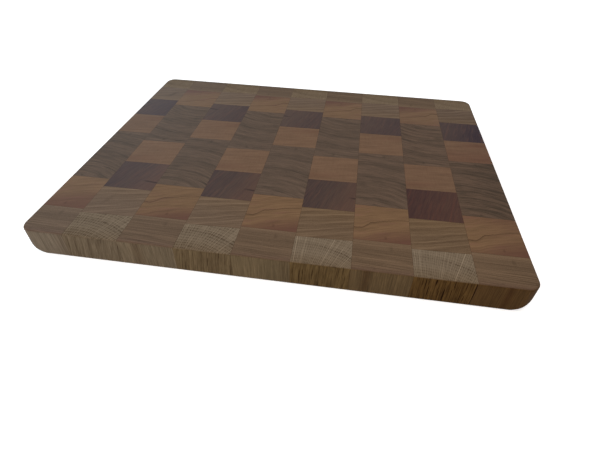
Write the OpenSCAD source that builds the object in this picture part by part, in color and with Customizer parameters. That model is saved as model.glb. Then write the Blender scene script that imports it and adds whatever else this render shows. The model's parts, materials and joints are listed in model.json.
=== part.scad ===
// End-grain cutting board.
// Seven strips of six kinds of wood are glued side by side into a panel, the panel is cut across into
// slices, the slices are stood on end and glued again, and every other slice is turned end for end.
// The frame: origin at the middle of the underside, +X along the slices' row, +Y from front to back, +Z up.

/* [Board] */
// Thickness of the board
board_t = 24; // [18:0.5:40]
// Radius of the four corners, seen from above
corner_r = 10; // [3:0.5:14]
// Radius of the round under the two ends, where fingers lift the board
lift_r = 21; // [6:0.5:22]
// Radius of the eased edges round the top and along the underside
ease_r = 1.5; // [0.5:0.1:2.5]

/* [Slices] */
// Number of slices side by side
slice_count = 9; // [3:1:9]
// Width of a whole slice, which is the thickness of the lumber
slice_w = 44; // [30:0.5:60]
// Width of the slice at the left end, whose left side is trimmed
left_slice_w = 36.3; // [20:0.1:44]
// Width of the slice at the right end, whose right side is trimmed
right_slice_w = 43.2; // [20:0.1:44]

/* [Strips] */
// Width of the elm strip, which is trimmed
elm_w = 31.7; // [20:0.1:60]
// Width of the cherry strip between the elm and the walnut, which has a dark streak
streaked_cherry_w = 43.3; // [20:0.1:60]
// Width of the walnut strip
walnut_w = 85.3; // [40:0.1:120]
// Width of the cherry strip between the walnut and the purpleheart
plain_cherry_w = 40.8; // [20:0.1:60]
// Width of the purpleheart strip
purpleheart_w = 41.5; // [20:0.1:60]
// Width of the ash strip
ash_w = 35.9; // [20:0.1:60]
// Width of the oak strip, which is trimmed
oak_w = 28.4; // [20:0.1:60]

/* [Joints] */
// Thickness of a cured glue line
glue_t = 0.15; // [0.05:0.05:0.3]
// How far the joint of elm and cherry is out of square, in degrees
elm_cherry_lean = 0.2; // [-3:0.1:3]
// How far the joint of cherry and walnut is out of square, in degrees
cherry_walnut_lean = 0; // [-3:0.1:3]
// How far the joint of walnut and plain cherry is out of square, in degrees
walnut_cherry_lean = 1.4; // [-3:0.1:3]
// How far the joint of plain cherry and purpleheart is out of square, in degrees
cherry_purpleheart_lean = 1.4; // [-3:0.1:3]
// How far the joint of purpleheart and ash is out of square, in degrees
purpleheart_ash_lean = 0.6; // [-3:0.1:3]
// How far the joint of ash and oak is out of square, in degrees
ash_oak_lean = 1.7; // [-3:0.1:3]

/* [Hidden] */
$fn = 64;

// The strips in the order of the panel, from the front of a slice that isn't turned
ELM = 0;
STREAKED_CHERRY = 1;
WALNUT = 2;
PLAIN_CHERRY = 3;
PURPLEHEART = 4;
ASH = 5;
OAK = 6;
strip_w = [elm_w, streaked_cherry_w, walnut_w, plain_cherry_w, purpleheart_w, ash_w, oak_w];
strip_count = len(strip_w);

// Joint j lies in front of strip j, and the first and last are the panel's own edges
lean = [0, elm_cherry_lean, cherry_walnut_lean, walnut_cherry_lean,
        cherry_purpleheart_lean, purpleheart_ash_lean, ash_oak_lean, 0];
inner_joints = [1:strip_count - 1];

slices_w = [for (s = [1:slice_count]) s == 1 ? left_slice_w : s == slice_count ? right_slice_w : slice_w];

function total(list, n) = n == 0 ? 0 : list[n - 1] + total(list, n - 1);

board_w = total(slices_w, slice_count) + (slice_count - 1) * glue_t;
board_d = total(strip_w, strip_count) + (strip_count - 1) * glue_t;

// Left side of slice s, which counts from 1
function slice_x(s) = -board_w / 2 + total(slices_w, s - 1) + (s - 1) * glue_t;

// Right side of slice s
function slice_end(s) = slice_x(s) + slices_w[s - 1];

// Middle of slice s as it was before the ends were trimmed
function slice_mid(s) = s == 1 ? slice_end(s) - slice_w / 2 : slice_x(s) + slice_w / 2;

// Every other slice is turned end for end
function turned(s) = s % 2 == 0;

function is_edge(j) = j == 0 || j == strip_count;

// Half the glue line that a block leaves at joint j
function half_glue(j) = is_edge(j) ? 0 : glue_t / 2;

// Middle of joint j in the panel
function panel_y(j) = -board_d / 2 + total(strip_w, j) + max(j - 1, 0) * glue_t + half_glue(j);

// Middle of joint j at x, once slice s is laid in the board
function joint_y(s, j, x) = (turned(s) ? -1 : 1) * panel_y(j) + tan(lean[j]) * (x - slice_mid(s));

WOODS = ["elm_block", "cherry_blocks", "walnut_block", "purpleheart_block", "ash_block", "oak_block"];
function node_name(s, piece) = str("slice_", s, "_", piece);

// Section that rounds off an edge: the edge is at the origin and the wood lies towards -X and -Y
module edge_section(r) {
    translate([-r, -r])
        difference() {
            square(2 * r);
            circle(r);
        }
}

// Cut along an edge that runs along X, with the wood towards -Y and -Z
module edge_along_x(r, length) {
    rotate([90, 0, 90])
        linear_extrude(height = length, center = true)
            edge_section(r);
}

// Cut along an edge that runs along Y, with the wood towards -X and -Z
module edge_along_y(r, length) {
    rotate([90, 0, 0])
        linear_extrude(height = length, center = true)
            edge_section(r);
}

// What is sanded off along the back, and mirrored along the front
module side_cuts() {
    translate([0, board_d / 2, board_t])
        edge_along_x(ease_r, board_w - 2 * corner_r);
    translate([0, board_d / 2, 0])
        mirror([0, 0, 1])
            edge_along_x(ease_r, 2 * board_w);
}

// What is sanded off the top of the right end and routed off under it, and mirrored at the left end
module end_cuts() {
    translate([board_w / 2, 0, board_t])
        edge_along_y(ease_r, board_d - 2 * corner_r);
    translate([board_w / 2, 0, 0])
        mirror([0, 0, 1])
            edge_along_y(lift_r, 2 * board_d);
}

// The upright corner at the back right, and the eased top edge that follows it
module corner_cuts() {
    translate([board_w / 2, board_d / 2, -board_t / 2])
        linear_extrude(height = 2 * board_t)
            edge_section(corner_r);
    translate([board_w / 2 - corner_r, board_d / 2 - corner_r, board_t])
        rotate_extrude(angle = 90)
            translate([corner_r, 0])
                edge_section(ease_r);
}

// Everything that is taken off the edges of the glued blank
module edge_cuts() {
    for (my = [0, 1])
        mirror([0, my, 0])
            side_cuts();
    for (mx = [0, 1])
        mirror([mx, 0, 0])
            end_cuts();
    for (mx = [0, 1])
        for (my = [0, 1])
            mirror([mx, 0, 0])
                mirror([0, my, 0])
                    corner_cuts();
}

// Plan of slice s from a little behind one joint to a little before another
module plan(s, front, front_inset, back, back_inset) {
    left = slice_x(s);
    right = slice_end(s);
    polygon([
        [left, joint_y(s, front, left) + front_inset],
        [right, joint_y(s, front, right) + front_inset],
        [right, joint_y(s, back, right) - back_inset],
        [left, joint_y(s, back, left) - back_inset]
    ]);
}

// Strip k as it lies in slice s, with its outer edges finished
module block(s, k) {
    front = turned(s) ? k + 1 : k;
    back = turned(s) ? k : k + 1;
    difference() {
        linear_extrude(height = board_t)
            plan(s, front, half_glue(front), back, half_glue(back));
        edge_cuts();
    }
}

module elm_block(s) {
    color("#614d3d") block(s, ELM);
}

module cherry_blocks(s) {
    color("#6b503d") {
        block(s, STREAKED_CHERRY);
        block(s, PLAIN_CHERRY);
    }
}

module walnut_block(s) {
    color("#524237") block(s, WALNUT);
}

module purpleheart_block(s) {
    color("#473631") block(s, PURPLEHEART);
}

module ash_block(s) {
    color("#644f3c") block(s, ASH);
}

module oak_block(s) {
    color("#6d5d4c") block(s, OAK);
}

// Glue of the first glue-up, between neighbouring strips of each slice
module strip_glue_lines() {
    color("#33261d")
        difference() {
            for (s = [1:slice_count])
                for (j = inner_joints)
                    linear_extrude(height = board_t)
                        plan(s, j, -half_glue(j), j, -half_glue(j));
            edge_cuts();
        }
}

// Glue of the second glue-up, between neighbouring slices
module slice_glue_lines() {
    color("#33261d")
        difference() {
            for (s = [1:slice_count - 1])
                translate([slice_end(s), -board_d / 2, 0])
                    cube([glue_t, board_d, board_t]);
            edge_cuts();
        }
}

for (s = [1:slice_count]) {
    elm_block(s);
    cherry_blocks(s);
    walnut_block(s);
    purpleheart_block(s);
    ash_block(s);
    oak_block(s);
}
strip_glue_lines();
slice_glue_lines();
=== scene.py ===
"""Looks of an end-grain cutting board: its woods, glue lines, floor, light and camera.

Lengths are in millimetres unless a name or comment says otherwise. The frame is in metres.
"""
import json
import math

import bpy
from mathutils import Matrix, Vector


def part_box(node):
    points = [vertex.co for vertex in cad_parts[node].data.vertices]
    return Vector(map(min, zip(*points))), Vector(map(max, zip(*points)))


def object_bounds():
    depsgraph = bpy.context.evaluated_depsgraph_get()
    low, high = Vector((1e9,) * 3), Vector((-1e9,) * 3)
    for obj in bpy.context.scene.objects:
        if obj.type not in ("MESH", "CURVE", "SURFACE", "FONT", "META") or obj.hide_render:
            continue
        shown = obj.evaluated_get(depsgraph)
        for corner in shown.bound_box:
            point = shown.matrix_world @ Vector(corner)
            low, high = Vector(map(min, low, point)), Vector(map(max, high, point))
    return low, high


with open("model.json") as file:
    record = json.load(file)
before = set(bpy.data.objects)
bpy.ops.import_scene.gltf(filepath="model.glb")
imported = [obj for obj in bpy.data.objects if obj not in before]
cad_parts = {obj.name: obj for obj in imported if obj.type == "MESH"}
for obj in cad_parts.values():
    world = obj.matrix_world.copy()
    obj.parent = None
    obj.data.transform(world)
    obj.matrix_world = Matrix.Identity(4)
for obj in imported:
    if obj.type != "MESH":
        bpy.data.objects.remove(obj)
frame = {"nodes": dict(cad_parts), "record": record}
cad_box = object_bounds()

MM = 0.001

# Sizes of the board, read off the frame
board_high = cad_box[1]
HALF_DEPTH = board_high[1] / MM
BOARD_T = board_high[2] / MM
SECOND_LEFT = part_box("slice_2_walnut_block")[0][0] / MM
SECOND_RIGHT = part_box("slice_2_walnut_block")[1][0] / MM
THIRD_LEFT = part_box("slice_3_walnut_block")[0][0] / MM
SLICE_W = SECOND_RIGHT - SECOND_LEFT
SLICE_PITCH = THIRD_LEFT - SECOND_LEFT
GLUE_T = SLICE_PITCH - SLICE_W
SAW_KERF = 3.0
SLICE_STEP = BOARD_T + SAW_KERF


def strip_front(piece):
    """How far a strip's front lies from the front of the panel, on a slice that isn't turned."""
    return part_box(f"slice_3_{piece}")[0][1] / MM + HALF_DEPTH


def strip_back(piece):
    """How far a strip's back lies from the front of the panel, on a slice that isn't turned."""
    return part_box(f"slice_3_{piece}")[1][1] / MM + HALF_DEPTH


ELM_BACK = strip_back("elm_block")
CHERRY_FRONT = strip_front("cherry_blocks")
WALNUT_FRONT = strip_front("walnut_block")
PLAIN_CHERRY_FRONT = strip_back("walnut_block")
PURPLEHEART_FRONT = strip_front("purpleheart_block")
ASH_FRONT = strip_front("ash_block")
OAK_FRONT = strip_front("oak_block")


# Shader values

class Num:
    """A number, vector or colour inside a shader. Sums and products of numbers become Math nodes."""

    def __init__(self, tree, socket):
        self.tree = tree
        self.socket = socket

    def __add__(self, other):
        return calculate(self.tree, "ADD", self, other)

    __radd__ = __add__

    def __sub__(self, other):
        return calculate(self.tree, "SUBTRACT", self, other)

    def __rsub__(self, other):
        return calculate(self.tree, "SUBTRACT", other, self)

    def __mul__(self, other):
        return calculate(self.tree, "MULTIPLY", self, other)

    __rmul__ = __mul__

    def __truediv__(self, other):
        return calculate(self.tree, "DIVIDE", self, other)


def plug(tree, value, socket):
    """Links a shader value to a socket, or writes a plain one into it."""
    if isinstance(value, Num):
        tree.links.new(value.socket, socket)
    else:
        socket.default_value = value


def calculate(tree, operation, *values):
    node = tree.nodes.new("ShaderNodeMath")
    node.operation = operation
    for value, socket in zip(values, node.inputs):
        plug(tree, value, socket)
    return Num(tree, node.outputs[0])


def floor(value):
    return calculate(value.tree, "FLOOR", value)


def absolute(value):
    return calculate(value.tree, "ABSOLUTE", value)


def larger(value, other):
    return calculate(value.tree, "MAXIMUM", value, other)


def distance(across, along):
    return calculate(across.tree, "SQRT", across * across + along * along)


def angle(across, along):
    return calculate(across.tree, "ARCTAN2", across, along)


def smooth(value, low, high):
    """0 at low and 1 at high, with soft ends; low may be the larger one."""
    node = value.tree.nodes.new("ShaderNodeMapRange")
    node.interpolation_type = "SMOOTHSTEP"
    for source, name in ((value, "Value"), (low, "From Min"), (high, "From Max")):
        plug(value.tree, source, node.inputs[name])
    return Num(value.tree, node.outputs["Result"])


def soft_line(value, width):
    """1 where value is 0, falling to 0 at width on either side."""
    return smooth(absolute(value), width, 0.0)


def comb(value, pitch, width):
    """Even lines across a direction: 1 on each line, falling to 0 at width on either side."""
    place = value / pitch
    return soft_line((place - floor(place) - 0.5) * pitch, width)


def vector(x, y, z):
    node = x.tree.nodes.new("ShaderNodeCombineXYZ")
    for value, socket in zip((x, y, z), node.inputs):
        plug(x.tree, value, socket)
    return Num(x.tree, node.outputs[0])


def split(tree, socket):
    """The three parts of a vector."""
    node = tree.nodes.new("ShaderNodeSeparateXYZ")
    tree.links.new(socket, node.inputs[0])
    return [Num(tree, part) for part in node.outputs]


def noise_node(tree, size, detail, roughness):
    node = tree.nodes.new("ShaderNodeTexNoise")
    node.inputs["Scale"].default_value = 1.0 / size
    node.inputs["Detail"].default_value = detail
    node.inputs["Roughness"].default_value = roughness
    return node


def noise(x, y, z, size, detail=2.0, roughness=0.5):
    """Soft noise about 0, with features of about that size in x and y."""
    node = noise_node(x.tree, size, detail, roughness)
    plug(x.tree, vector(x, y, z), node.inputs["Vector"])
    return Num(x.tree, node.outputs["Fac"]) - 0.5


def bands(value, size, detail=2.0):
    """Noise about 0 along one direction, so that it draws bands of about that width."""
    node = noise_node(value.tree, size, detail, 0.5)
    node.noise_dimensions = "1D"
    plug(value.tree, value, node.inputs["W"])
    return Num(value.tree, node.outputs["Fac"]) - 0.5


def profile(value, stops, low, high):
    """A curve about 0 over low to high, drawn through listed stops: stops are (place, level from 0 to 1).
    """
    tree = value.tree
    node = tree.nodes.new("ShaderNodeValToRGB")
    ramp = node.color_ramp
    ramp.interpolation = "EASE"
    while len(ramp.elements) < len(stops):
        ramp.elements.new(0.5)
    for element, (place, level) in zip(ramp.elements, stops):
        element.position = (place - low) / (high - low)
        element.color = (level, level, level, 1.0)
    plug(tree, (value - low) / (high - low), node.inputs["Fac"])
    return Num(tree, node.outputs["Color"]) - 0.5


def mixed(first, second, share, blend="MIX"):
    """A colour between two, by a share from 0 to 1."""
    tree = share.tree
    node = tree.nodes.new("ShaderNodeMix")
    node.data_type = "RGBA"
    node.blend_type = blend
    node.clamp_factor = True
    plug(tree, share, node.inputs["Factor"])
    first_socket, second_socket = (socket for socket in node.inputs if socket.type == "RGBA")
    plug(tree, first, first_socket)
    plug(tree, second, second_socket)
    result = next(socket for socket in node.outputs if socket.type == "RGBA")
    return Num(tree, result)


def tinted(colour, tint, share):
    """Multiplies a colour by a tint, as far as the share goes."""
    return mixed(colour, tint, share, blend="MULTIPLY")


def linear_level(level):
    """One level of a written colour, from 0 to 1, as linear light."""
    if level <= 0.04045:
        return level / 12.92
    return ((level + 0.055) / 1.055) ** 2.4


def linear(hex_colour):
    """A written colour such as 8a6b4f as linear RGBA."""
    levels = [int(hex_colour[i:i + 2], 16) / 255 for i in (0, 2, 4)]
    return [linear_level(level) for level in levels] + [1.0]


# Places in the wood

# How upright a surface's normal is where it counts as end grain, and where as cut along the fibres
END_UPRIGHT = 0.95
SIDE_UPRIGHT = 0.35


class Grain:
    """Where a point of the board lay in the panel that the slices were cut from.

    across runs over the slice's width, along over the panel from its front, fibre up the tree, and
    number is the slice's place in the row, from 0. A turned slice is read turned back, and turned is
    1 on it and 0 on the others. height is measured from the underside. step is number at the top of
    a slice, and falls by almost 1 down to its underside. side is 1 where the surface runs along the
    fibres and 0 on end grain, and end is the reverse. Inside a wood's own functions, along starts at
    the front of its strip.
    """

    def __init__(self, tree):
        coordinates = tree.nodes.new("ShaderNodeTexCoord")
        x, y, z = (part / MM for part in split(tree, coordinates.outputs["Object"]))
        steps = (x - (SECOND_LEFT - GLUE_T / 2)) / SLICE_PITCH
        whole = floor(steps)
        self.number = whole + 1.0
        pairs = self.number / 2
        self.turned = (pairs - floor(pairs)) * 2
        sign = 1.0 - self.turned * 2
        from_middle = (steps - whole - 0.5) * SLICE_PITCH
        self.across = from_middle * sign + SLICE_W / 2
        self.along = y * sign + HALF_DEPTH
        self.height = z
        self.fibre = z + self.number * SLICE_STEP
        self.step = self.number + (z - BOARD_T) / SLICE_STEP
        facing = split(tree, tree.nodes.new("ShaderNodeNewGeometry").outputs["Normal"])
        self.side = smooth(absolute(facing[2]), END_UPRIGHT, SIDE_UPRIGHT)
        self.end = 1.0 - self.side

    def first(self):
        """1 on the first slice and 0 on the others."""
        return smooth(self.number, 1.0, 0.0)

    def near(self, number, reach):
        """1 at a place in the row of slices, falling to 0 at reach slices on either side."""
        return soft_line(self.number - number, reach)


FIBRE_STRETCH = 18.0


def fibres(grain, across, along, size):
    """Fine speckle on the end grain that draws out into streaks along the fibres."""
    return noise(across, along, grain.fibre / FIBRE_STRETCH, size, detail=3.0, roughness=0.6)


def lines(grain, across, ring, size, stretch=14.0):
    """Lines that follow the rings and come and go along them."""
    return noise(across / stretch, ring, grain.fibre / (4 * FIBRE_STRETCH), size, roughness=0.6)


def spot(across, along, place, size):
    """A soft round mark at a place of a strip."""
    return smooth(distance((across - place[0]) / size[0], (along - place[1]) / size[1]), 1.0, 0.0)


def wandering(grain, across, along, size, amount):
    """A slow drift of the rings from place to place and from slice to slice."""
    return noise(across, along, grain.fibre / 4, size, detail=1.0) * (2 * amount)


def long_grain(grain, across, along, tone, size, amount):
    """Adds to a tone, on the board's sides, the upright streaks of wood cut along its fibres."""
    fine = noise(across, along, grain.fibre / (2 * FIBRE_STRETCH), size)
    broad = noise(across, along, grain.fibre / (2 * FIBRE_STRETCH), 9 * size, detail=1.0)
    return tone + (fine * 1.4 + broad * 0.6) * grain.side * amount


def slice_lines(grain, value, marks):
    """Lines on chosen slices: marks are (slice's number, value on the line, half width, strength)."""
    found = 0.0
    for number, middle, half_width, strength in marks:
        line = soft_line(value - middle, half_width) * grain.near(number, 0.5)
        found = line * strength + found
    return found


def end_tinted(grain, colour, tint, share):
    """Tints the end grain alone, as far as the share goes."""
    return tinted(colour, tint, share * grain.end)


# Tints of wood cut along its fibres, which hold painted light: a painted pale bluish sheen on the first
# slice, the long grain's own golden tint in the middle of the row, and painted shade after the last slice
SIDE_TINTS_WITH_PAINTED_SHEEN_AND_SHADE = ((1.0, 1.14, 1.25, 1.0), (0.93, 0.96, 0.77, 1.0), (0.54, 0.35, 0.1, 1.0))
MIDDLE_NUMBER = 4.5


def sides_tinted_with_painted_sheen_and_shade(grain, colour, tints=SIDE_TINTS_WITH_PAINTED_SHEEN_AND_SHADE):
    """Tints the board's sides, where the oiled wood is cut along its fibres: a painted sheen on the first
    slices, and painted shade that makes them darker and more saturated from slice to slice.
    """
    # The first tint is a painted sheen, the middle one the long grain's own golden tint, and the last one
    # painted shade
    pale, golden, deep = tints
    place = grain.number / MIDDLE_NUMBER
    tint = mixed(mixed(pale, golden, place), deep, place - 1.0)
    return tinted(colour, tint, grain.side)


def material(name):
    made = bpy.data.materials.new(name)
    made.use_nodes = True
    return made, made.node_tree


OIL_GLOSS = 0.02


def oiled(tree, colour, roughness, height, depth, gloss=OIL_GLOSS):
    """Wires an oiled wood surface: colour, roughness, and a height whose pits are depth deep."""
    shader = tree.nodes["Principled BSDF"]
    plug(tree, colour, shader.inputs["Base Color"])
    plug(tree, roughness, shader.inputs["Roughness"])
    shader.inputs["Specular IOR Level"].default_value = gloss
    bump = tree.nodes.new("ShaderNodeBump")
    bump.inputs["Strength"].default_value = 1.0
    bump.inputs["Distance"].default_value = depth * MM
    plug(tree, height, bump.inputs["Height"])
    tree.links.new(bump.outputs["Normal"], shader.inputs["Normal"])


# Woods

ELM_DARK = linear("45372a")
ELM_PALE = linear("725d4a")
ELM_EDGE = linear("5e483d")
# Warmer tint over the later slices, where the painted bluish sheen of the first slice fades
ELM_PAINTED_SHEEN_FADING_WARM_TINT = (1.04, 1.02, 0.97, 1.0)
# Painted shade on the turned slices, where the elm is the back row
ELM_BACK_ROW_PAINTED_SHADE_TINT = (0.955, 0.955, 0.965, 1.0)
# Painted bluish sheen on the elm's first slice
ELM_FIRST_SLICE_PAINTED_SHEEN_TINT = (1.03, 1.07, 1.14, 1.0)
ELM_BAND_TINT = (0.68, 0.6, 0.55, 1.0)

# Rings of the elm: the place from the panel's front, and the level
ELM_RINGS = (
    (0.0, 0.38), (5.0, 0.51), (8.0, 0.44), (12.0, 0.61),
    (16.0, 0.5), (21.0, 0.41), (25.0, 0.48), (30.0, 0.7),
)

# Brown bands on the elm's front, where it cuts a darker ring along the fibres, as slice_lines reads them
ELM_BANDS = (
    (0, 42.0, 8.0, 0.5), (2, 14.5, 8.0, 0.7), (4, 40.5, 7.0, 0.4),
    (6, 11.5, 6.0, 1.0), (8, 22.6, 4.5, 1.0),
)


def elm_colour(grain, across, along, tone):
    """Colour of the elm: a painted bluish sheen on the first slice, a warmer tint in the later slices where
    that painted sheen fades, painted shade on the turned slices where the elm is the back row, and redder
    along the board's edge.
    """
    colour = mixed(ELM_DARK, ELM_PALE, tone)
    colour = mixed(colour, ELM_EDGE, smooth(along, 7.0, 0.0) * grain.end * 0.4)
    colour = end_tinted(grain, colour, ELM_PAINTED_SHEEN_FADING_WARM_TINT, smooth(grain.number, 2.0, 6.0))
    colour = end_tinted(grain, colour, ELM_BACK_ROW_PAINTED_SHADE_TINT, grain.turned)
    colour = end_tinted(grain, colour, ELM_FIRST_SLICE_PAINTED_SHEEN_TINT, grain.first())
    colour = sides_tinted_with_painted_sheen_and_shade(grain, colour)
    return tinted(colour, ELM_BAND_TINT, slice_lines(grain, across, ELM_BANDS) * grain.side)


def elm():
    made, tree = material("elm")
    grain = Grain(tree)
    across = grain.across
    along = grain.along + wandering(grain, across, grain.along, size=26.0, amount=0.4)
    ring = along + across * (1.0 - along / ELM_BACK) * 0.07
    broad = profile(ring, ELM_RINGS, low=-2.0, high=34.0)
    fine = lines(grain, across, ring, 0.6, stretch=60.0) * (0.7 + smooth(along, 20.0, 8.0) * 0.6)
    fine = fine + lines(grain, across, ring, 2.0, stretch=60.0) * 0.3
    speckle = fibres(grain, across, along, 0.5)
    marks = spot(across, along, (29.0, 25.0), (2.5, 5.0)) + spot(across, along, (16.5, 3.0), (2.0, 1.6))
    paler_back = (smooth(along, 0.0, 30.0) - 0.5) * smooth(grain.number, 4.5, 7.0) * 0.1
    darker_right = (smooth(across, 0.0, 44.0) - 0.5) * smooth(grain.number, 7.0, 8.0) * 0.14
    end_tone = fine * 1.5 + broad * 0.9 + paler_back - darker_right
    tone = 0.5 + end_tone * grain.end + speckle * 0.9 - marks * 0.2
    tone = long_grain(grain, across, along, tone, size=0.6, amount=1.0)
    colour = elm_colour(grain, across, along, tone)
    oiled(tree, colour, 0.55 + speckle * 0.2, speckle + fine * 0.4, depth=0.03)
    return made


STREAKED_CHERRY_DARK = linear("503e2d")
STREAKED_CHERRY_PALE = linear("82654c")
CHERRY_PINK = linear("715046")
CHERRY_RED = linear("523530")
CHERRY_STREAK = linear("2e1d14")
CHERRY_KNOT = linear("3f2922")
CHERRY_WARM_TINT = (1.01, 0.99, 0.92, 1.0)
PLAIN_CHERRY_DARK = linear("4f3c2d")
PLAIN_CHERRY_PALE = linear("7d604a")
PLAIN_CHERRY_FLUSH = linear("57362b")

# Where the dark streak starts, from the cherry strip's front, and the step at which it starts there
STREAK_START = 16.0
STREAK_STEP = 3.6


def cherry_streak(grain, across, rise):
    """Strength of the cherry's dark streak, which moves to the front from slice to slice."""
    later = grain.step - STREAK_STEP
    fall = later * 0.86 - later * later * 0.055
    wiggle = noise(across, across, grain.fibre / 9, 3.0) * 1.6
    off_streak = grain.along - CHERRY_FRONT - (STREAK_START + rise - fall + wiggle)
    streak = soft_line(off_streak, 0.6) * 0.75 + soft_line(off_streak + 0.8, 2.4) * 0.2
    streak = streak * (0.55 + smooth(across, 36.0, 12.0) * 0.45)
    return streak * smooth(grain.step, -2.0, 3.0) * 0.85


def cherry_redness(grain, across, along, ring):
    """How red the streaked cherry is: to its front, and in the late slices to the right and the back."""
    first = smooth(grain.step, 1.2, -0.2)
    late = smooth(grain.step, 5.5, 8.5)
    edge = ring + lines(grain, across, ring, 3.0, stretch=6.0) * 4.0 - first * 8.0
    flush = smooth(across, 0.0, 40.0) * 0.2 + smooth(along, 28.0, 43.0) * 0.25
    return smooth(edge, 10.0, -10.0) * (0.66 - first * 0.1 - late * 0.16) + flush * late


def streaked_cherry(grain, across, speckle, drift):
    """Colour of the cherry strip with the dark streak, whose rings step up and follow the streak."""
    along = grain.along - CHERRY_FRONT + drift
    rise = smooth(across, 5.0, 15.0) * 7.0 + smooth(across, 8.0, 42.0) * 7.0
    ring = along - across * 0.2 - rise * 0.3
    rings = lines(grain, across, ring, 1.3) * 0.75 + lines(grain, across, ring, 4.5, stretch=8.0) * 0.6
    tone = 0.52 + rings + speckle * 0.5 - grain.near(1.5, 1.5) * 0.08
    colour = mixed(STREAKED_CHERRY_DARK, STREAKED_CHERRY_PALE, tone)
    pink = smooth(lines(grain, across, ring + 30.0, 6.0, stretch=5.0), 0.0, 0.25)
    colour = mixed(colour, CHERRY_PINK, pink * 0.4)
    colour = mixed(colour, CHERRY_RED, cherry_redness(grain, across, along, ring))
    colour = mixed(colour, CHERRY_STREAK, cherry_streak(grain, across, rise))
    colour = mixed(colour, CHERRY_KNOT, spot(across, along, (25.0, 5.0), (1.8, 3.0)) * 0.35)
    warm = smooth(grain.number, 0.0, 2.0) * (1.0 - grain.turned)
    return end_tinted(grain, colour, CHERRY_WARM_TINT, warm)


def plain_cherry(grain, across, speckle, drift):
    """Colour of the cherry beside the purpleheart, with a red band that spreads in the last slices."""
    along = grain.along - PLAIN_CHERRY_FRONT + drift
    ring = along - across * 0.12
    rings = lines(grain, across, ring, 1.6) * 0.5 + lines(grain, across, ring, 5.0, stretch=7.0) * 0.6
    rays = noise(across, along / 5, grain.fibre / FIBRE_STRETCH, 1.6) * 0.25
    slice_tone = grain.near(4.5, 3.0) * 0.05 - grain.first() * 0.09
    tone = 0.5 + rings + rays + speckle * 0.5 + slice_tone
    colour = mixed(PLAIN_CHERRY_DARK, PLAIN_CHERRY_PALE, tone)
    late = smooth(grain.step, 6.6, 8.2)
    flush = soft_line(ring - 29.0, 8.0) * smooth(across, 4.0, 34.0) * (0.22 + late * 0.2)
    flush = flush + (smooth(along, 34.0, 4.0) * 0.36 + smooth(across, 4.0, 40.0) * 0.1) * late
    return mixed(colour, PLAIN_CHERRY_FLUSH, flush)


def cherry():
    made, tree = material("cherry")
    grain = Grain(tree)
    across = grain.across
    drift = wandering(grain, across, grain.along, size=16.0, amount=0.8)
    speckle = fibres(grain, across, grain.along, 0.5)
    streaked = streaked_cherry(grain, across, speckle, drift)
    plain = plain_cherry(grain, across, speckle, drift)
    between = (WALNUT_FRONT + PLAIN_CHERRY_FRONT) / 2
    colour = mixed(streaked, plain, smooth(grain.along, between, between + 1.0))
    colour = sides_tinted_with_painted_sheen_and_shade(grain, colour)
    oiled(tree, colour, 0.52 + speckle * 0.2, speckle, depth=0.02)
    return made


WALNUT_DARK = linear("3b3229")
WALNUT_PALE = linear("665345")
WALNUT_WARM_TINT = (1.04, 0.99, 0.95, 1.0)
WALNUT_PITH = (8.0, -45.0)

# Rings of the walnut: the distance from the pith, and the level
WALNUT_RINGS = (
    (44.0, 0.42), (52.0, 0.62), (55.5, 0.24), (57.0, 0.5), (60.5, 0.64), (63.0, 0.32), (64.5, 0.55),
    (67.5, 0.66), (70.5, 0.22), (72.0, 0.5), (74.5, 0.6), (78.0, 0.4), (84.0, 0.44), (89.0, 0.26),
    (90.5, 0.46), (98.0, 0.66), (104.0, 0.64), (110.0, 0.26), (111.5, 0.46), (113.5, 0.34),
    (119.0, 0.6), (125.0, 0.36), (129.0, 0.58),
)


def walnut_marks_and_painted_shade(grain, across, along):
    """How much darker the walnut is at its smudge and knots, and, as painted shade, to the right of the
    last slice.
    """
    smudge = spot(across, along, (6.0, 30.0), (8.0, 7.0)) * 0.16
    knots = spot(across, along, (25.0, 81.0), (2.5, 4.0)) + spot(across, along, (16.0, 2.5), (2.2, 2.5))
    # Painted shade: the last slice darker, more so towards the board's right end
    last = smooth(grain.step, 6.8, 8.0) * (0.09 + smooth(across, 4.0, 40.0) * 0.14)
    return smudge + knots * 0.25 + last


def walnut():
    made, tree = material("walnut")
    grain = Grain(tree)
    across = grain.across
    along = grain.along - WALNUT_FRONT
    ripple = wandering(grain, across, along, size=20.0, amount=1.1)
    ripple = ripple + noise(across, along, grain.fibre / 6, 5.0) * 0.7
    ring = distance(across - WALNUT_PITH[0], along - WALNUT_PITH[1]) + ripple
    rings = profile(ring, WALNUT_RINGS, low=40.0, high=140.0)
    fading = 0.75 + noise(across, along, grain.fibre / 8, 12.0, detail=1.0) * 1.8
    fine = lines(grain, across, ring, 0.9) * 0.9 + lines(grain, across, ring, 3.0) * 0.7
    speckle = fibres(grain, across, along, 0.6)
    dark_lines = smooth(lines(grain, across, ring + 40.0, 1.4, stretch=20.0), 0.06, 0.2) * 0.3
    clear = 1.0 + smooth(grain.number, 5.0, 8.0) * 0.3
    tone = 0.55 + (rings * fading * 0.75 + fine * 1.1) * clear + speckle * 0.9
    tone = tone - dark_lines - walnut_marks_and_painted_shade(grain, across, along) + grain.near(4.0, 2.5) * 0.04
    tone = long_grain(grain, across, along, tone, size=1.2, amount=0.5)
    colour = mixed(WALNUT_DARK, WALNUT_PALE, tone)
    colour = end_tinted(grain, colour, WALNUT_WARM_TINT, smooth(grain.number, 4.0, 8.0))
    colour = sides_tinted_with_painted_sheen_and_shade(grain, colour)
    oiled(tree, colour, 0.55 + speckle * 0.2, speckle + rings * 0.3, depth=0.03)
    return made


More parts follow.
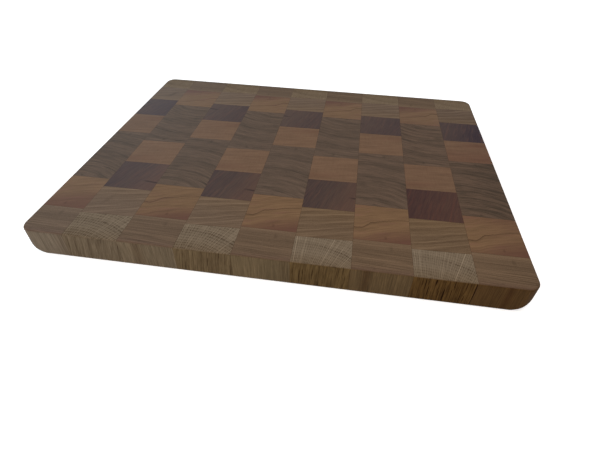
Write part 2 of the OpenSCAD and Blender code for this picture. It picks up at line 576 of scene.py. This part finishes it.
PURPLEHEART_DARK = linear("2e232a")
PURPLEHEART_PALE = linear("57463b")
PURPLEHEART_WARM = linear("5f4238")
PURPLEHEART_RUSSET = linear("624438")
PURPLEHEART_CRACK = linear("171216")
PURPLEHEART_RED_TINT = (0.95, 0.76, 0.75, 1.0)
PURPLEHEART_TURNED_TINT = (0.985, 0.975, 0.92, 1.0)
PURPLEHEART_STEEPNESS = math.radians(73.0)


def purpleheart_tone(grain, across, along, slant, speckle):
    """Tone of the purpleheart's streaks, which are softer on the last slice, where painted shade also makes
    the wood darker towards the board's right end.
    """
    streaks = lines(grain, along, slant, 0.9) * 0.75 + lines(grain, along, slant, 3.0) * 0.4
    last = smooth(grain.step, 7.1, 8.0)
    slice_tone = grain.near(4.0, 1.0) * 0.08 - grain.first() * 0.12
    # Painted shade: the last slice darker, more so towards the board's right end
    slice_tone = slice_tone - last * (0.16 + smooth(across, 4.0, 40.0) * 0.15)
    streaks = streaks * (1.0 - last * 0.35) + speckle * 0.3
    return 0.61 - smooth(slant, -4.0, 36.0) * 0.18 + streaks + slice_tone


def purpleheart_colour(grain, along, slant, tone):
    """Colour of the purpleheart, which is redder on the last slice but one."""
    colour = mixed(PURPLEHEART_DARK, PURPLEHEART_PALE, tone)
    warm = smooth(lines(grain, along, slant + 20.0, 2.2), 0.0, 0.2)
    colour = mixed(colour, PURPLEHEART_WARM, warm * 0.3)
    reddening = soft_line(grain.step - 7.0, 1.0)
    russet = smooth(slant, 18.0, -8.0) * grain.turned * (1.0 - reddening)
    colour = mixed(colour, PURPLEHEART_RUSSET, russet * 0.28)
    colour = tinted(colour, PURPLEHEART_RED_TINT, reddening)
    turned_share = grain.turned * smooth(grain.number, 1.0, 4.0)
    return end_tinted(grain, colour, PURPLEHEART_TURNED_TINT, turned_share)


def purpleheart_crack(grain, across, along):
    """Strength of the crack on the purpleheart's left, which moves to the front and gets shorter."""
    middle = 31.0 - grain.step * 1.55 - (across - 6.0) * 0.12
    end = 18.0 - grain.step * 2.0
    return soft_line(along - middle, 1.7) * smooth(across, end, end - 8.0)


def purpleheart():
    made, tree = material("purpleheart")
    grain = Grain(tree)
    across = grain.across
    along = grain.along - PURPLEHEART_FRONT
    slant = across * math.sin(PURPLEHEART_STEEPNESS) - along * math.cos(PURPLEHEART_STEEPNESS)
    slant = slant + wandering(grain, across, along, size=16.0, amount=1.2)
    speckle = fibres(grain, across, along, 0.5)
    tone = purpleheart_tone(grain, across, along, slant, speckle)
    colour = purpleheart_colour(grain, along, slant, tone)
    crack = purpleheart_crack(grain, across, along)
    colour = mixed(colour, PURPLEHEART_CRACK, crack * 0.65)
    colour = sides_tinted_with_painted_sheen_and_shade(grain, colour)
    oiled(tree, colour, 0.5 + speckle * 0.2, speckle - crack, depth=0.03)
    return made


ASH_DARK = linear("4d3c2e")
ASH_PALE = linear("74604e")
ASH_INNER_TINT = (1.02, 1.0, 0.94, 1.0)
ASH_TURNED_TINT = (1.0, 0.965, 0.85, 1.0)
ASH_RING = 7.4
ASH_GLOSS = 0.028


def ash_growth(grain, across, ring):
    """Rings of the ash, each with a pale line at its end and a darker band after it, that come and go."""
    years = (ring + 2.0 + bands(ring, 15.0, detail=0.0) * 7.0) / ASH_RING
    year = years - floor(years)
    pale = smooth(year, 0.62, 0.98) * smooth(year, 1.0, 0.96)
    dark = smooth(year, 0.0, 0.2) * smooth(year, 0.5, 0.2)
    return (pale - dark * 0.35) * (0.24 + lines(grain, across, ring, 8.0, stretch=3.0) * 0.85)


def ash():
    made, tree = material("ash")
    grain = Grain(tree)
    across = grain.across
    along = grain.along - ASH_FRONT
    along = along + wandering(grain, across, along, size=16.0, amount=0.9)
    ring = (along - across * 0.164) / (1.0 + across * 0.0051) + lines(grain, across, along, 5.0) * 1.5
    blemish = spot(across - along * 0.4, along, (24.0, 17.0), (4.0, 11.0)) * smooth(grain.step, 1.8, 0.2)
    fine = lines(grain, across, ring, 0.7, stretch=30.0) * 0.95 + lines(grain, across, ring, 2.6) * 0.65
    speckle = fibres(grain, across, along, 0.6)
    broad = smooth(along, 12.0, 0.0) * 0.06 - soft_line(along - 19.0, 11.0) * 0.06
    broad = broad + smooth(along, 22.0, 36.0) * 0.03
    # Painted shade darkens the last slice; the first slice is darker too
    slice_tone = smooth(grain.step, 6.8, 8.0) * 0.14 + grain.first() * 0.14
    tone = 0.48 + ash_growth(grain, across, ring) + fine + broad + speckle * 0.9
    tone = tone - blemish * 0.35 - slice_tone
    tone = long_grain(grain, across, along, tone, size=1.2, amount=0.5)
    colour = mixed(ASH_DARK, ASH_PALE, tone)
    colour = end_tinted(grain, colour, ASH_INNER_TINT, smooth(along, 26.0, 0.0))
    colour = end_tinted(grain, colour, ASH_TURNED_TINT, grain.turned * smooth(grain.number, 0.0, 7.0))
    colour = sides_tinted_with_painted_sheen_and_shade(grain, colour)
    oiled(tree, colour, 0.55 + speckle * 0.2, speckle + fine * 0.4, depth=0.03, gloss=ASH_GLOSS)
    return made


OAK_DARK = linear("392a1c")
OAK_PALE = linear("897762")
# Tints of the oak cut along its fibres: a painted grey sheen on the first slice, its own tint in the middle
# of the row, and painted shade after the last slice
OAK_SIDE_TINTS_WITH_PAINTED_SHEEN_AND_SHADE = ((0.74, 0.76, 0.79, 1.0), (0.69, 0.6, 0.385, 1.0), (0.5, 0.28, 0.049, 1.0))
OAK_DASH_TINT = (0.16, 0.1, 0.06, 1.0)
OAK_OUTER_TINT = (1.0, 0.97, 0.92, 1.0)
OAK_END_TINT = (1.0, 0.98, 0.945, 1.0)
# Painted light that makes the oak paler and bluer on the turned slices, where it is the front row
OAK_FRONT_ROW_PAINTED_LIGHT_TINT = (1.0, 1.05, 1.11, 1.0)
OAK_HEART = (40.0, 88.0)
OAK_PORE_RING = 80.0
OAK_RAY_HALF_W = 0.5
OAK_GLOSS = 0.01

# Rings of the oak: the distance from the heart, and the level
OAK_RINGS = (
    (58.0, 0.5), (64.0, 0.44), (71.0, 0.62), (75.0, 0.5),
    (80.0, 0.34), (84.5, 0.64), (89.0, 0.5), (96.0, 0.6),
)

# Rays of the oak that stand out: the slice's number, the place round the heart, and the strength
OAK_RAYS = (
    (1, -36.6, 0.5), (1, -25.1, 0.5), (3, -37.5, 0.5), (3, -34.5, 0.6), (3, -29.0, 0.5), (3, 2.0, 0.4),
    (5, -40.1, 0.6), (5, -32.6, 0.3), (5, -27.4, 0.5), (5, -23.6, 1.0), (5, -4.3, 0.8), (5, 2.2, 1.0),
    (7, -30.8, 1.0), (7, -19.1, 0.4), (7, -1.6, 0.6), (7, 2.2, 0.4),
)


def oak_end(grain, across, along, outer):
    """Tone and pores of the oak's end grain: rays from its heart, rings, and pores between the rays.

    The mesh of rays and pores is coarser in the first half of the row of slices.
    """
    to_heart = (across - OAK_HEART[0], OAK_HEART[1] - along)
    radius = distance(*to_heart) + wandering(grain, across, along, size=14.0, amount=0.7)
    turn = angle(*to_heart) * OAK_PORE_RING
    upright = grain.fibre / (2 * FIBRE_STRETCH)
    sway = noise(turn, radius / 8, upright, 3.0) * 2.4
    strength = 0.7 + noise(turn, radius / 12, upright, 1.6) * 2.0
    coarse = smooth(grain.number, 4.5, 3.5)
    rays = comb(turn + sway, pitch=1.5, width=0.6) * strength
    bundles = comb(turn - sway, pitch=2.3, width=0.7) * strength * coarse
    early = soft_line(radius - OAK_PORE_RING, 5.0) * smooth(across, 30.0, 8.0)
    early = early * (0.4 + grain.near(4.0, 4.0) * 0.6)
    ripple = noise(turn / 3, radius, upright, 4.0) * 2.0
    broken = smooth(noise(turn, radius / 2, upright, 1.1, detail=1.0), -0.25, 0.2)
    between_rays = 1.0 - larger(rays * 0.6, bundles * 0.65)
    pores = comb(radius + ripple, pitch=2.8, width=1.1) * between_rays * broken
    pores = pores * (0.38 + coarse * 0.22 + early * 0.46)
    marks = [(number, place, OAK_RAY_HALF_W, level) for number, place, level in OAK_RAYS]
    tone = rays * (0.24 - coarse * 0.08) + bundles * 0.22 + slice_lines(grain, turn, marks) * 0.45
    tone = tone + profile(radius, OAK_RINGS, low=52.0, high=100.0) * 0.4 - pores * 0.55
    tone = tone - coarse * 0.04 - outer * 0.07 + smooth(along, 17.0, 5.0) * 0.03
    return tone, pores


def oak_dashes(grain, across, along):
    """Dark upright dashes on the oak's sides, where pores are cut along; bolder from slice to slice."""
    fine = smooth(noise(across, along, grain.fibre / 30, 0.8, detail=1.0), 0.0, 0.14)
    bold = smooth(noise(across, along, grain.fibre / 20, 1.2), 0.09, 0.16)
    share = 0.45 + smooth(grain.number, 1.0, 7.0) * 0.55
    return larger(fine * 0.5, bold) * share * grain.side


def oak():
    made, tree = material("oak")
    grain = Grain(tree)
    lean = grain.height - BOARD_T
    across = grain.across + lean * (0.2 - grain.number * 0.03)
    along = grain.along - OAK_FRONT
    outer = smooth(along, 15.0, 28.0)
    end_tone, pores = oak_end(grain, across, along, outer)
    speckle = fibres(grain, across, along, 0.5)
    side_tone = bands(across, 4.0) * 0.6 + speckle * 0.5
    tone = 0.5 + end_tone * grain.end + side_tone * grain.side + speckle * 0.5
    colour = mixed(OAK_DARK, OAK_PALE, tone)
    colour = end_tinted(grain, colour, OAK_OUTER_TINT, outer)
    colour = end_tinted(grain, colour, OAK_END_TINT, smooth(grain.number, 0.0, 2.0))
    colour = end_tinted(grain, colour, OAK_FRONT_ROW_PAINTED_LIGHT_TINT, grain.turned)
    colour = sides_tinted_with_painted_sheen_and_shade(grain, colour, OAK_SIDE_TINTS_WITH_PAINTED_SHEEN_AND_SHADE)
    colour = tinted(colour, OAK_DASH_TINT, oak_dashes(grain, across, along))
    oiled(tree, colour, 0.58 + speckle * 0.2, speckle * 0.5 - pores, depth=0.05, gloss=OAK_GLOSS)
    return made


GLUE_DARK = linear("261a12")
GLUE_PALE = linear("463324")


def glue():
    made, tree = material("cured_glue")
    grain = Grain(tree)
    cloud = noise(grain.across, grain.along, grain.height, 6.0, detail=3.0)
    colour = mixed(GLUE_DARK, GLUE_PALE, 0.5 + cloud * 1.2)
    oiled(tree, colour, 0.5 + cloud * 0.3, cloud, depth=0.02)
    return made


finishes = {
    "elm": elm(), "cherry": cherry(), "walnut": walnut(), "purpleheart": purpleheart(),
    "ash": ash(), "oak": oak(), "glue": glue(),
}
slot_of = {part["node"]: part["material_slot"] for part in frame["record"]["subparts"]}
for name, node in frame["nodes"].items():
    node.data.materials.clear()
    node.data.materials.append(finishes[slot_of[name]])


# Floor, light and camera

FLOOR_WHITE = (0.8, 0.8, 0.8, 1.0)
FLOOR_ROUGHNESS = 0.9
FLOOR_GLOW = 0.8
FAR_FLOOR_GLOW = 0.8
FAR_START_M = 0.5
FAR_END_M = 2.5
FLOOR_HALF_M = 4.0
FLOOR_GAP = 0.1
WORLD_FILL = 0.15

# Name, place and target in metres, width and height in metres, watts, and colour
LAMPS = (
    ("back", (-0.26, 1.69, 1.43), (0, 0, 0), (3.1, 1.8), 17.0, (0.88, 0.92, 1.0)),
    ("back_left", (-1.3, 1.3, 1.04), (0, 0, 0), (1.6, 1.3), 29.2, (0.75, 0.9, 1.0)),
    ("overhead", (0.15, -0.25, 0.6), (0.1, -0.1, 0.024), (0.4, 0.4), 2.05, (1.0, 0.89, 0.82)),
    ("low_fill", (-0.3, -0.55, 0.09), (-0.05, -0.15, 0.01), (0.3, 0.12), 1.6, (0.92, 0.97, 1.0)),
    ("under_fill", (0.0, 0.0, -0.9), (0, 0, 0), (1.2, 1.2), 11.0, (1.0, 1.0, 1.0)),
)

CAMERA_PLACE = Vector((51.0, -353.1, 235.7)) * MM
CAMERA_TARGET = Vector((20.3, -112.9, 24.0)) * MM
CAMERA_ROLL = math.radians(1.44)
CAMERA_SENSOR = 36.0
CAMERA_LENS = 24.24
CAMERA_CLIP_M = 0.01


def seen_background(tree):
    """1 where the background is looked at, straight or reflected, and 0 where it lights the object."""
    path = tree.nodes.new("ShaderNodeLightPath")
    seen = Num(tree, path.outputs["Is Camera Ray"])
    for kind in ("Is Glossy Ray", "Is Transmission Ray"):
        seen = larger(seen, Num(tree, path.outputs[kind]))
    return seen


def floor_material():
    """A pale floor that shows the board's shadow and is white far off.

    From below it can't be seen, and it lets the light through that shows the underside.
    """
    made, tree = material("pale_floor")
    shader = tree.nodes["Principled BSDF"]
    shader.inputs["Base Color"].default_value = FLOOR_WHITE
    shader.inputs["Roughness"].default_value = FLOOR_ROUGHNESS
    shader.inputs["Specular IOR Level"].default_value = 0.0
    shader.inputs["Emission Color"].default_value = FLOOR_WHITE
    coordinates = tree.nodes.new("ShaderNodeTexCoord")
    x, y, _ = split(tree, coordinates.outputs["Object"])
    far = smooth(distance(x, y), FAR_START_M, FAR_END_M)
    glow = seen_background(tree) * (FLOOR_GLOW + far * FAR_FLOOR_GLOW)
    plug(tree, glow, shader.inputs["Emission Strength"])
    clear = tree.nodes.new("ShaderNodeBsdfTransparent")
    either = tree.nodes.new("ShaderNodeMixShader")
    from_below = Num(tree, tree.nodes.new("ShaderNodeNewGeometry").outputs["Backfacing"])
    shadow_ray = Num(tree, tree.nodes.new("ShaderNodeLightPath").outputs["Is Shadow Ray"])
    plug(tree, larger(from_below, shadow_ray), either.inputs["Fac"])
    tree.links.new(shader.outputs["BSDF"], either.inputs[1])
    tree.links.new(clear.outputs["BSDF"], either.inputs[2])
    tree.links.new(either.outputs["Shader"], tree.nodes["Material Output"].inputs["Surface"])
    return made


def add_floor():
    half = FLOOR_HALF_M
    corners = [(-half, -half, 0), (half, -half, 0), (half, half, 0), (-half, half, 0)]
    mesh = bpy.data.meshes.new("floor")
    mesh.from_pydata(corners, [], [(0, 1, 2, 3)])
    mesh.materials.append(floor_material())
    placed = bpy.data.objects.new("floor", mesh)
    placed.location.z = -FLOOR_GAP * MM
    bpy.context.scene.collection.objects.link(placed)


def add_world():
    """A white room that gives the object a little even light."""
    world = bpy.data.worlds.new("studio")
    world.use_nodes = True
    bpy.context.scene.world = world
    tree = world.node_tree
    background = tree.nodes["Background"]
    background.inputs["Color"].default_value = (1.0, 1.0, 1.0, 1.0)
    plug(tree, larger(seen_background(tree), WORLD_FILL), background.inputs["Strength"])


def add_lamp(name, place, target, size, watts, colour):
    lamp = bpy.data.lights.new(name, "AREA")
    lamp.shape = "RECTANGLE"
    lamp.size, lamp.size_y = size
    lamp.energy = watts
    lamp.color = colour
    placed = bpy.data.objects.new(name, lamp)
    bpy.context.scene.collection.objects.link(placed)
    placed.location = place
    placed.rotation_euler = (Vector(target) - Vector(place)).to_track_quat("-Z", "Y").to_euler()
    placed.visible_camera = False


def add_camera():
    camera = bpy.data.cameras.new("camera")
    camera.sensor_fit = "HORIZONTAL"
    camera.sensor_width = CAMERA_SENSOR
    camera.lens = CAMERA_LENS
    camera.clip_start = CAMERA_CLIP_M
    placed = bpy.data.objects.new("camera", camera)
    bpy.context.scene.collection.objects.link(placed)
    aim = (CAMERA_TARGET - CAMERA_PLACE).to_track_quat("-Z", "Y").to_matrix().to_4x4()
    placed.matrix_world = Matrix.Translation(CAMERA_PLACE) @ aim @ Matrix.Rotation(CAMERA_ROLL, 4, "Z")
    bpy.context.scene.camera = placed


add_floor()
add_world()
for lamp in LAMPS:
    add_lamp(*lamp)
add_camera()
bpy.context.scene.view_settings.view_transform = "Standard"
